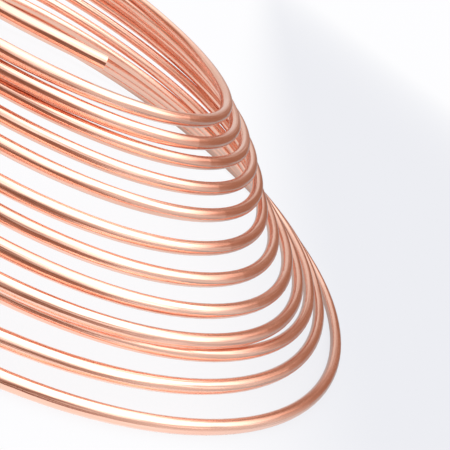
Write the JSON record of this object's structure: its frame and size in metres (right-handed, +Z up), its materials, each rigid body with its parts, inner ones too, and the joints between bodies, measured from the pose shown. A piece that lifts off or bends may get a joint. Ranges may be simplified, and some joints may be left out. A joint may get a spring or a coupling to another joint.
{
  "type": "copper tube coil",
  "caption": "Open coil of bare soft copper tube with its turns fanned out and both ends cut square.",
  "frame": {"origin": "middle of the bounding box, on the floor that the bottom turn lies on", "axes": "+Z up along the coil, +X to the side that the lower turns are drawn out to, -Y to the front"},
  "size_m": [0.3822, 0.3533, 0.086],
  "materials": {
    "copper": "bright polished copper"
  },
  "bodies": {
    "root": {"copper_tube": "copper"}
  },
  "joints": []
}
